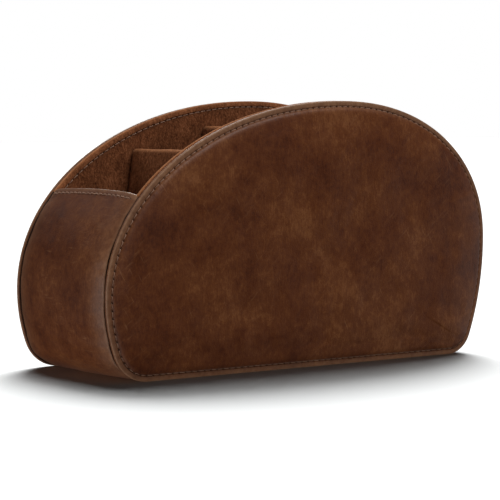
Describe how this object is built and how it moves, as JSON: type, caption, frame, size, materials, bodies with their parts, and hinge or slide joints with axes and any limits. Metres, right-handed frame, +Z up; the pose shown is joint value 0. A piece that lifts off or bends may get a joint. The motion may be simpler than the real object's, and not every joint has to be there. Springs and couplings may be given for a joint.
{
  "type": "remote control organizer",
  "caption": "Arched tabletop remote control organizer: padded leather panels joined by a stitched gusset, open top, suede lining and leaning dividers.",
  "frame": {"origin": "on the table, under the middle of the part's box", "axes": "+X along the panels towards the steeper end, +Y from the front panel to the back panel, +Z up"},
  "size_m": [0.24, 0.0848, 0.1337],
  "materials": {
    "leather": "waxy mottled brown faux leather, satin",
    "suede": "brushed brown microsuede",
    "padding": "cream foam sheet",
    "board": "grey-brown pressed board",
    "thread": "pinkish tan polyester thread"
  },
  "bodies": {
    "root": {"front_leather": "leather", "front_padding": "padding", "front_board": "board", "front_lining": "suede", "front_seam_thread": "thread", "front_bobbin_thread": "thread", "back_leather": "leather", "back_padding": "padding", "back_board": "board", "back_lining": "suede", "back_seam_thread": "thread", "back_bobbin_thread": "thread", "gusset_leather": "leather", "gusset_padding": "padding", "left_end_board": "board", "floor_board": "board", "right_end_board": "board", "left_end_lining": "suede", "floor_lining": "suede", "right_end_lining": "suede", "left_hem_thread": "thread", "right_hem_thread": "thread", "divider_1_suede": "suede", "divider_1_board": "board", "divider_2_suede": "suede", "divider_2_board": "board", "divider_3_suede": "suede", "divider_3_board": "board", "divider_4_suede": "suede", "divider_4_board": "board"}
  },
  "joints": []
}
